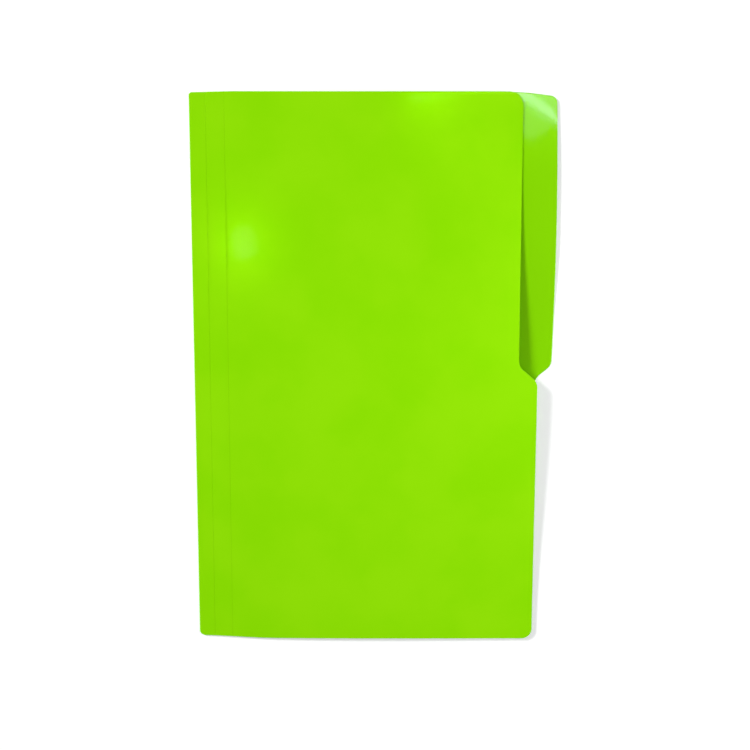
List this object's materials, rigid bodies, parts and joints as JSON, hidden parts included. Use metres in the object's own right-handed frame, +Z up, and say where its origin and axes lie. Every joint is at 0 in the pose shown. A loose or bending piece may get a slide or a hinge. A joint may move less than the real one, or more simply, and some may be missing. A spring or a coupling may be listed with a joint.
{
  "type": "document folder",
  "caption": "Closed file folder of glossy board: a tab shows beside the front cover's cut-out, and a fold and score lines let the cover swing open.",
  "frame": {"origin": "on the table under the middle of the closed folder", "axes": "+X from the fold to the free edge with the tab, +Y up the page along the fold, +Z up from the table"},
  "size_m": [0.2413, 0.3746, 0.0096],
  "materials": {
    "glossy_board": "gloss-coated board, lime green on both faces, paler at the cut edges"
  },
  "bodies": {
    "back_cover": {"back_cover": "glossy_board"},
    "spine_strip": {"spine_strip": "glossy_board"},
    "gusset_strip": {"gusset_strip": "glossy_board"},
    "front_cover": {"front_cover": "glossy_board"}
  },
  "joints": [
    {"name": "main_fold", "type": "hinge", "parent": "back_cover", "child": "spine_strip", "pos_m": [-0.12065, 0, 0.0006], "axis": [0, -1, 0], "range_deg": [0, 178]},
    {"name": "first_score", "type": "hinge", "parent": "spine_strip", "child": "gusset_strip", "pos_m": [-0.11025, 0, 0.00147], "axis": [0, 1, 0], "range_deg": [-90, 0]},
    {"name": "second_score", "type": "hinge", "parent": "gusset_strip", "child": "front_cover", "pos_m": [-0.09805, 0, 0.00179], "axis": [0, 1, 0], "range_deg": [-90, 0]}
  ]
}
